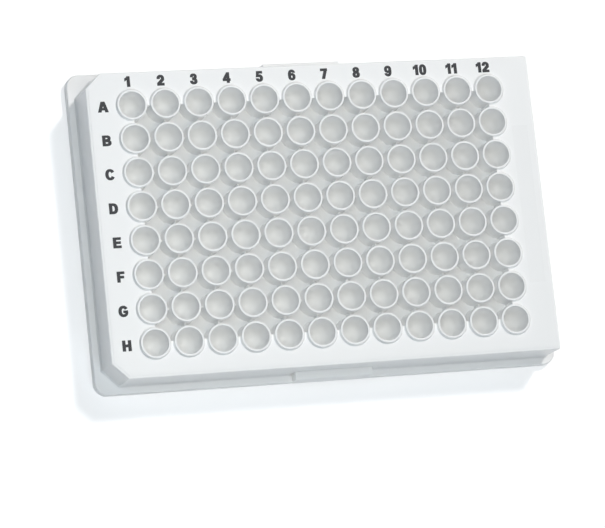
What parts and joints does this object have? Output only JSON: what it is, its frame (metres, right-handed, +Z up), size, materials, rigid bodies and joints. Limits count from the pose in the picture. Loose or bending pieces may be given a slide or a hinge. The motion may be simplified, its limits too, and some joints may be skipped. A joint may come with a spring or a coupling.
{
  "type": "well plate",
  "caption": "White moulded microplate: a grid of round-bottomed chimney wells joined by webs, in a stepped skirt with a lid seat and two cut corners.",
  "frame": {"origin": "middle of the plate's footprint, on the standing surface", "axes": "+X along the long side from column 1 to column 12, +Y across from row H to row A, +Z up through the wells' mouths"},
  "size_m": [0.1278, 0.0854, 0.0144],
  "materials": {
    "plate": "white opaque polystyrene, satin as moulded",
    "print": "charcoal ink, printed flat on the deck"
  },
  "bodies": {
    "root": {"plate": "plate"}
  },
  "joints": []
}
